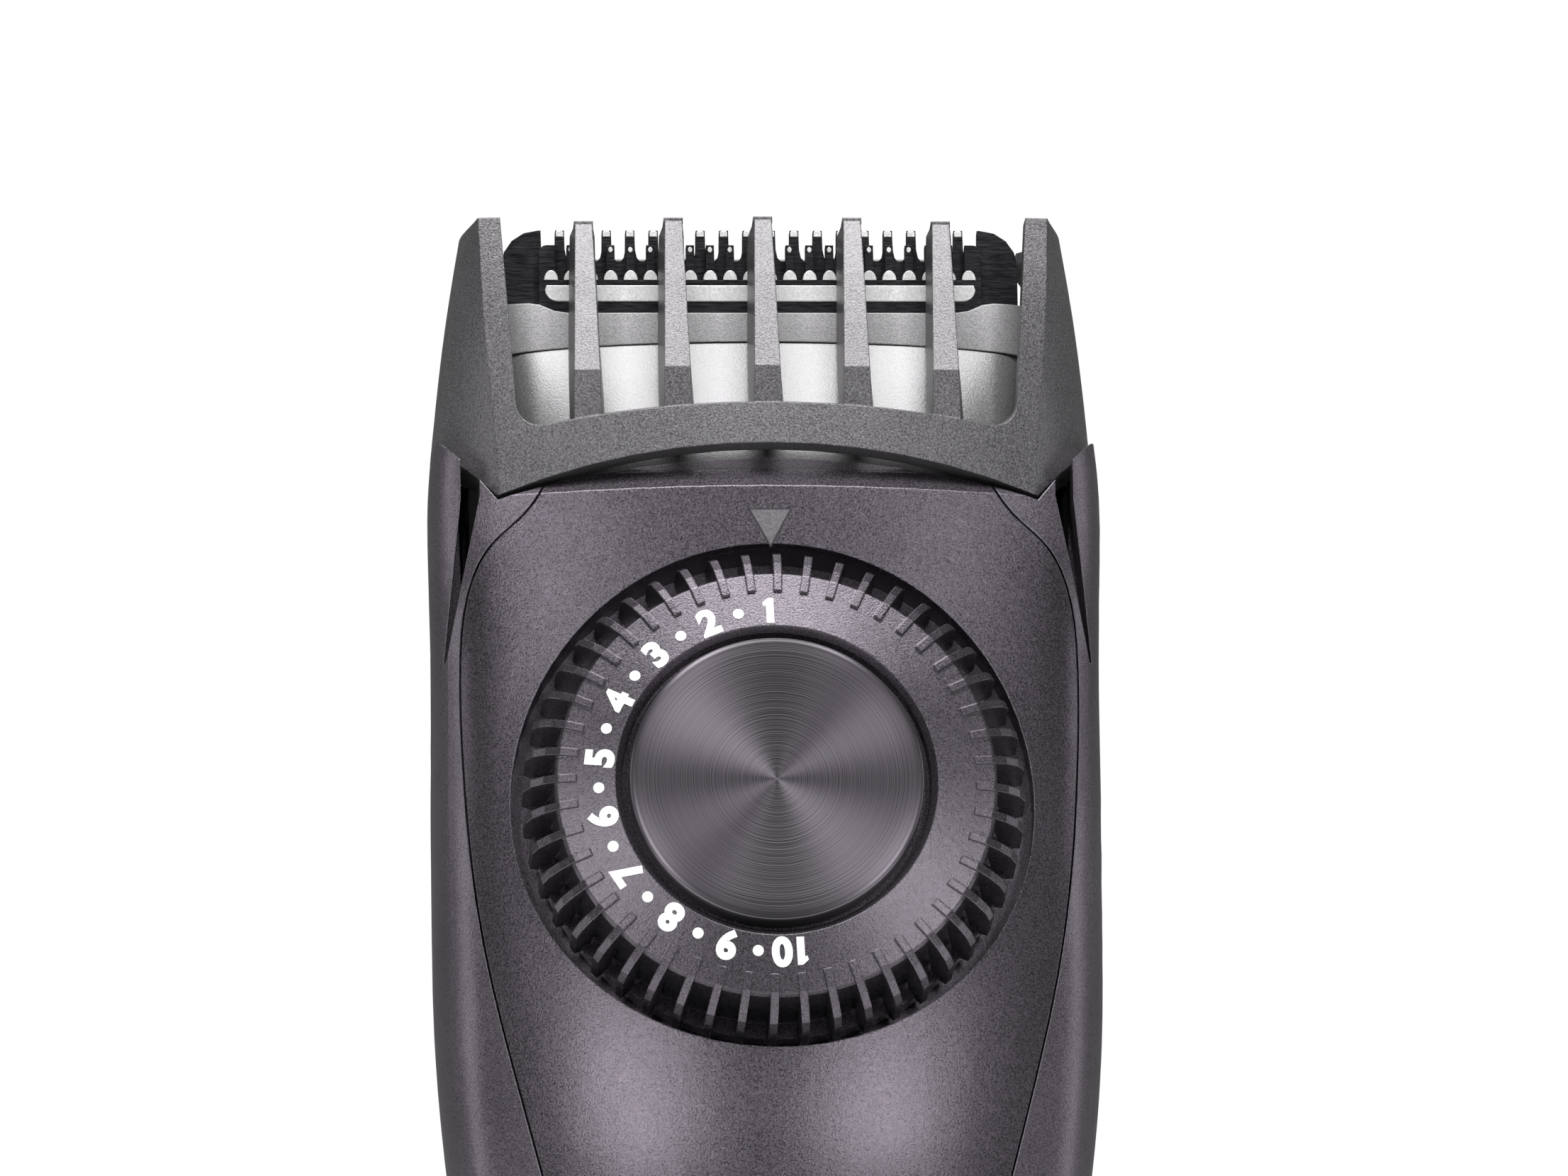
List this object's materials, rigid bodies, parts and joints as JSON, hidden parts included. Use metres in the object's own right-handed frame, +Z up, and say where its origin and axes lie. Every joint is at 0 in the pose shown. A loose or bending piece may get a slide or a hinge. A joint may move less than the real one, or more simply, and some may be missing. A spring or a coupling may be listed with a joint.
{
  "type": "hair clipper",
  "caption": "Cordless hair clipper with a slide-on guide comb, a blade head on a leaning neck, a length dial on the front, and a tapering grip.",
  "frame": {"origin": "on the flat base that the clipper stands on, midway across it, on the handle's axis", "axes": "+Z up along the handle towards the comb, -Y out of the front (dial) side, +X to the right as seen from the front"},
  "size_m": [0.0414, 0.0382, 0.1679],
  "materials": {
    "shell_plastic": "satin dark purple-grey ABS",
    "panel_metal": "satin metallic purple-grey finish with a fine grain",
    "grip_rubber": "soft-touch rubber with moulded grip texture",
    "cap_plastic": "dark satin ABS",
    "inner_plastic": "black moulded nylon",
    "dial_plastic": "satin metallic dial moulding",
    "dial_metal": "spun metal disc with radial sheen",
    "acetal": "natural acetal",
    "comb_plastic": "satin grey nylon",
    "head_plastic": "smooth light purple-grey ABS",
    "blade_steel": "dark ground steel with bright tooth bevels",
    "steel": "plated steel",
    "brass": "plated contacts",
    "seal_rubber": "black silicone",
    "lens": "milky light window",
    "board": "solder-masked board",
    "component": "component bodies",
    "cell": "shrink-wrapped cell",
    "wire": "insulated wire"
  },
  "bodies": {
    "handle": {"rear_housing": "shell_plastic", "front_housing": "shell_plastic", "front_panel": "panel_metal", "rear_grip": "grip_rubber", "bottom_cap": "cap_plastic", "charging_socket": "inner_plastic", "socket_pins": "brass", "dial_seal": "seal_rubber", "detent_spring": "steel", "neck_shroud": "head_plastic", "head_housing": "head_plastic", "fixed_blade": "blade_steel", "blade_carrier": "inner_plastic", "blade_screws": "steel", "motor": "steel", "motor_mount": "inner_plastic", "button_seal": "seal_rubber", "indicator_lens": "lens", "circuit_board": "board", "tact_switch": "component", "status_led": "lens", "charge_chip": "component", "battery": "cell", "battery_tabs": "brass", "battery_tray": "inner_plastic", "housing_screws": "steel", "motor_leads": "wire"},
    "dial": {"dial_ring": "dial_plastic", "dial_disc": "dial_metal", "dial_cam": "acetal", "dial_screw": "steel"},
    "comb_slide": {"comb_carrier": "acetal"},
    "guide_comb": {"comb": "comb_plastic"},
    "button": {"power_button": "cap_plastic"},
    "rotor": {"motor_shaft": "steel", "eccentric": "inner_plastic"},
    "cutter": {"moving_blade": "blade_steel", "blade_driver": "inner_plastic"}
  },
  "joints": [
    {"name": "dial_turn", "type": "hinge", "parent": "handle", "child": "dial", "pos_m": [0, -0.016, 0.132], "axis": [0, 0.9537, -0.3007], "range_deg": [0, 180]},
    {"name": "comb_lift", "type": "slide", "parent": "handle", "child": "comb_slide", "axis": [0, 0.3007, 0.9537], "range_m": [0, 0.009]},
    {"name": "comb_pull_off", "type": "slide", "parent": "comb_slide", "child": "guide_comb", "axis": [0, 0.3007, 0.9537], "range_m": [0, 0.03]},
    {"name": "button_press", "type": "slide", "parent": "handle", "child": "button", "axis": [0, 1, 0], "range_m": [0, 0.0006], "stiffness_N_per_m": 600},
    {"name": "motor_spin", "type": "hinge", "parent": "handle", "child": "rotor", "pos_m": [0, -0.00055, 0.12713], "axis": [0, 0.3007, 0.9537], "continuous": true},
    {"name": "cutter_stroke", "type": "slide", "parent": "handle", "child": "cutter", "axis": [1, 0, 0], "range_m": [-0.00075, 0.00075]}
  ],
  "couplings": [
    {"joint": "comb_lift", "follows": "dial_turn", "m_per_rad": 0.0028648}
  ]
}
